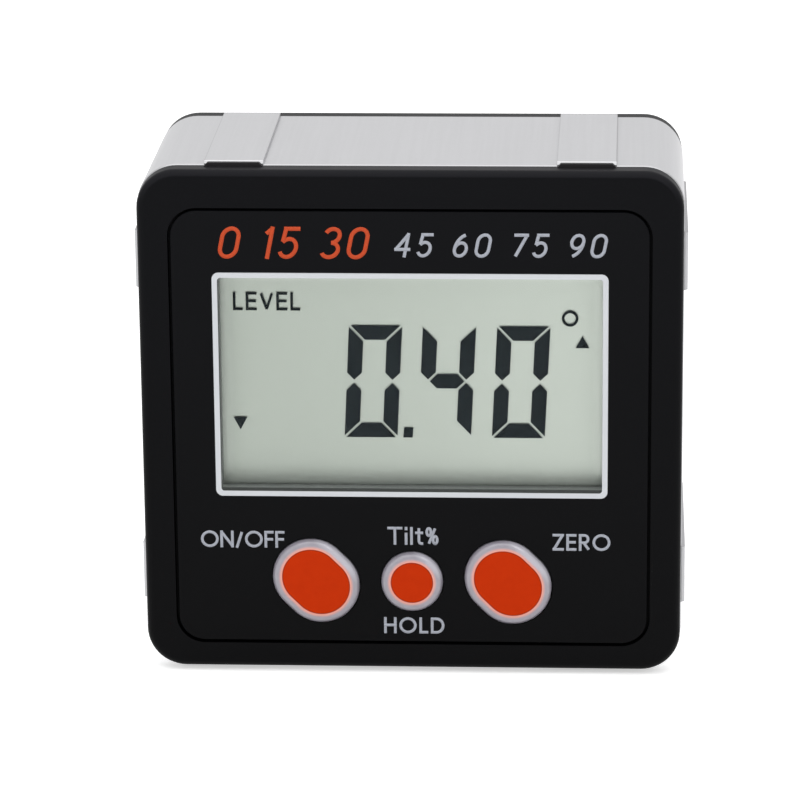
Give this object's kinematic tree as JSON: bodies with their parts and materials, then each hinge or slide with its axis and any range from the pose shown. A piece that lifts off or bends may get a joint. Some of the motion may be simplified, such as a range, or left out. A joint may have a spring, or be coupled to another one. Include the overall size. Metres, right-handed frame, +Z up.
{
  "type": "digital angle gauge",
  "caption": "Box-shaped digital inclinometer: extruded metal frame with raised reference lands, plastic covers, a windowed display, press keys and a sliding battery door.",
  "frame": {"origin": "middle of the footprint, on the plane of the bottom lands", "axes": "+Z up, +X to the viewer's right, display facing -Y"},
  "size_m": [0.061, 0.0298, 0.0586],
  "materials": {
    "aluminium": "fine satin",
    "magnet": "nickel plated",
    "cover": "fine moulded grain",
    "panel": "satin",
    "window": "clear",
    "gasket": "foam",
    "lcd": "reflective grey green",
    "strip": "matte",
    "board": "solder mask",
    "switch": "matte",
    "chip": "matte",
    "potting": "smooth drop",
    "can": "bright",
    "capacitor": "ceramic",
    "screw": "zinc plated",
    "key": "orange print on milky rubber",
    "plunger": "moulded",
    "cell": "plain sleeve",
    "contact": "nickel plated"
  },
  "bodies": {
    "gauge_body": {"frame": "aluminium", "base_magnets": "magnet", "front_cover": "cover", "face_panel": "panel", "display_window": "window", "display_gasket": "gasket", "lcd_cell": "lcd", "contact_strips": "strip", "circuit_board": "board", "switch_housings": "switch", "tilt_sensor": "chip", "processor": "potting", "quartz_crystal": "can", "chip_capacitors": "capacitor", "board_screws": "screw", "front_screws": "screw", "rear_cover": "cover", "upper_cell": "cell", "lower_cell": "cell", "bridge_contact": "contact", "positive_contact": "contact", "negative_contact": "contact", "contact_springs": "contact", "rear_screws": "screw"},
    "power_key_body": {"power_key": "key", "power_plunger": "plunger"},
    "hold_key_body": {"hold_key": "key", "hold_plunger": "plunger"},
    "zero_key_body": {"zero_key": "key", "zero_plunger": "plunger"},
    "door_body": {"battery_door": "cover"}
  },
  "joints": [
    {"name": "power_press", "type": "slide", "parent": "gauge_body", "child": "power_key_body", "axis": [0, 1, 0], "range_m": [0, 0.0005], "stiffness_N_per_m": 2000, "springref_m": -0.0003},
    {"name": "hold_press", "type": "slide", "parent": "gauge_body", "child": "hold_key_body", "axis": [0, 1, 0], "range_m": [0, 0.0005], "stiffness_N_per_m": 2000, "springref_m": -0.0003},
    {"name": "zero_press", "type": "slide", "parent": "gauge_body", "child": "zero_key_body", "axis": [0, 1, 0], "range_m": [0, 0.0005], "stiffness_N_per_m": 2000, "springref_m": -0.0003},
    {"name": "door_slide", "type": "slide", "parent": "gauge_body", "child": "door_body", "axis": [1, 0, 0], "range_m": [0, 0.058]}
  ]
}
